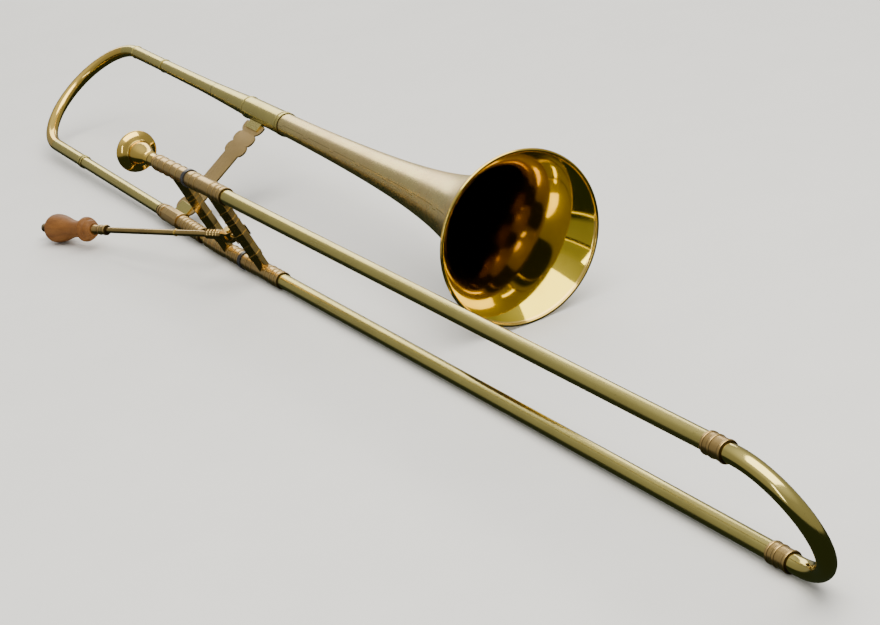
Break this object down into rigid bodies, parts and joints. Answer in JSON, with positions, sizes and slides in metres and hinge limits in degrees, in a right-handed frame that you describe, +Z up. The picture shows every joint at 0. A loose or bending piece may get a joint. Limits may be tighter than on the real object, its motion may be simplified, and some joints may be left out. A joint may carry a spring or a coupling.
{
  "type": "bass sackbut trombone",
  "caption": "Early-pattern bass trombone with a straight telescoping slide, scalloped bell stay, flat slide stays and a hinged handle with a turned wooden grip for the far positions.",
  "frame": {"origin": "centre of the footprint of the whole instrument lying on a table with its slide closed, at table height", "axes": "+X along the slide from the mouthpiece towards the slide bow, +Z up, +Y from the slide towards the bell"},
  "size_m": [1.5698, 0.3157, 0.1628],
  "materials": {
    "satin_brass": "satin, hand drawn, slightly tarnished",
    "rose_brass": "satin, turned",
    "gold_brass": "polished",
    "stay_brass": "polished",
    "cap_brass": "dark, worn",
    "buffer": "matte",
    "grip_wood": "oiled and polished"
  },
  "bodies": {
    "inner_slide": {"inner_tube_upper": "gold_brass", "inner_tube_lower": "gold_brass", "mouthpiece_receiver": "rose_brass", "lower_inner_ferrule": "rose_brass", "tenon_ferrule": "rose_brass", "bell_tenon": "gold_brass", "buffer_upper": "buffer", "buffer_lower": "buffer", "inner_stay_sleeve": "stay_brass", "inner_stay_insert": "stay_brass"},
    "outer_slide": {"outer_tube_upper": "satin_brass", "outer_tube_lower": "satin_brass", "mouth_ferrule_upper": "rose_brass", "mouth_ferrule_lower": "rose_brass", "outer_stay_sleeve": "stay_brass", "outer_stay_insert": "stay_brass", "bow_ferrule_upper": "rose_brass", "bow_ferrule_lower": "rose_brass", "slide_bow": "gold_brass", "handle_lug": "stay_brass"},
    "mouthpiece": {"mouthpiece": "gold_brass"},
    "handle": {"lug_pin": "gold_brass", "handle_fork": "stay_brass", "handle_rod": "stay_brass", "rod_ring": "gold_brass", "grip_collar": "rose_brass", "grip_cap": "cap_brass"},
    "grip": {"wood_grip": "grip_wood"},
    "bell_section": {"bell_flare": "satin_brass", "bell_stem": "satin_brass", "bell_rim_wire": "gold_brass", "bell_sleeve": "satin_brass", "bell_yard": "satin_brass", "bow_sleeve_upper": "satin_brass", "bell_bow": "gold_brass", "bow_sleeve_lower": "satin_brass", "gooseneck": "satin_brass", "gooseneck_collar": "rose_brass", "bell_socket": "rose_brass", "socket_tail": "rose_brass", "bell_stay": "rose_brass", "stay_clasp_upper": "satin_brass", "stay_clasp_lower": "satin_brass"}
  },
  "joints": [
    {"name": "slide_action", "type": "slide", "parent": "inner_slide", "child": "outer_slide", "axis": [1, 0, 0], "range_m": [0, 0.62]},
    {"name": "mouthpiece_pull", "type": "slide", "parent": "inner_slide", "child": "mouthpiece", "axis": [-1, 0, 0], "range_m": [0, 0.03]},
    {"name": "bell_turn", "type": "hinge", "parent": "inner_slide", "child": "bell_section", "pos_m": [-0.22534, -0.04064, 0.0093], "axis": [0.9997, -0.013, -0.0202], "range_deg": [-60, 35]},
    {"name": "handle_swing", "type": "hinge", "parent": "outer_slide", "child": "handle", "pos_m": [-0.12934, -0.06387, 0.05392], "axis": [0, -0.362, 0.9322], "range_deg": [-8, 75]},
    {"name": "grip_spin", "type": "hinge", "parent": "handle", "child": "grip", "pos_m": [-0.4172, -0.13987, 0.0171], "axis": [-0.9596, -0.2533, -0.1227], "continuous": true}
  ]
}
